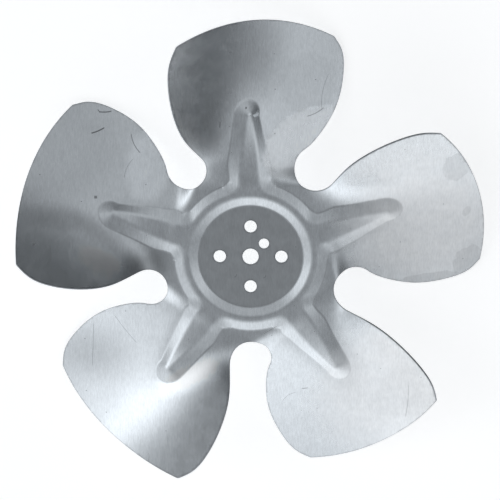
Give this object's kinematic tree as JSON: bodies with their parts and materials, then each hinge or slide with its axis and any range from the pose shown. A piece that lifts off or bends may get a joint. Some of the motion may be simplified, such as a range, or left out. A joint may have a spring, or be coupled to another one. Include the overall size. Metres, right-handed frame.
{
  "type": "axial fan impeller",
  "caption": "One-piece pressed aluminium axial fan impeller with pitched, cambered blades, a raised stiffening star and a flat drilled hub face.",
  "frame": {"origin": "centre of the shaft hole on the hub's flat front face", "axes": "+Z along the fan's axis, out of the hub face on the side that the star is raised to; one blade points along +Y"},
  "size_m": [0.1971, 0.1943, 0.041],
  "materials": {
    "aluminium_sheet": "bare mill-finish rolled aluminium with a fine grain, water stains and light scratches"
  },
  "bodies": {
    "root": {"impeller": "aluminium_sheet"}
  },
  "joints": []
}
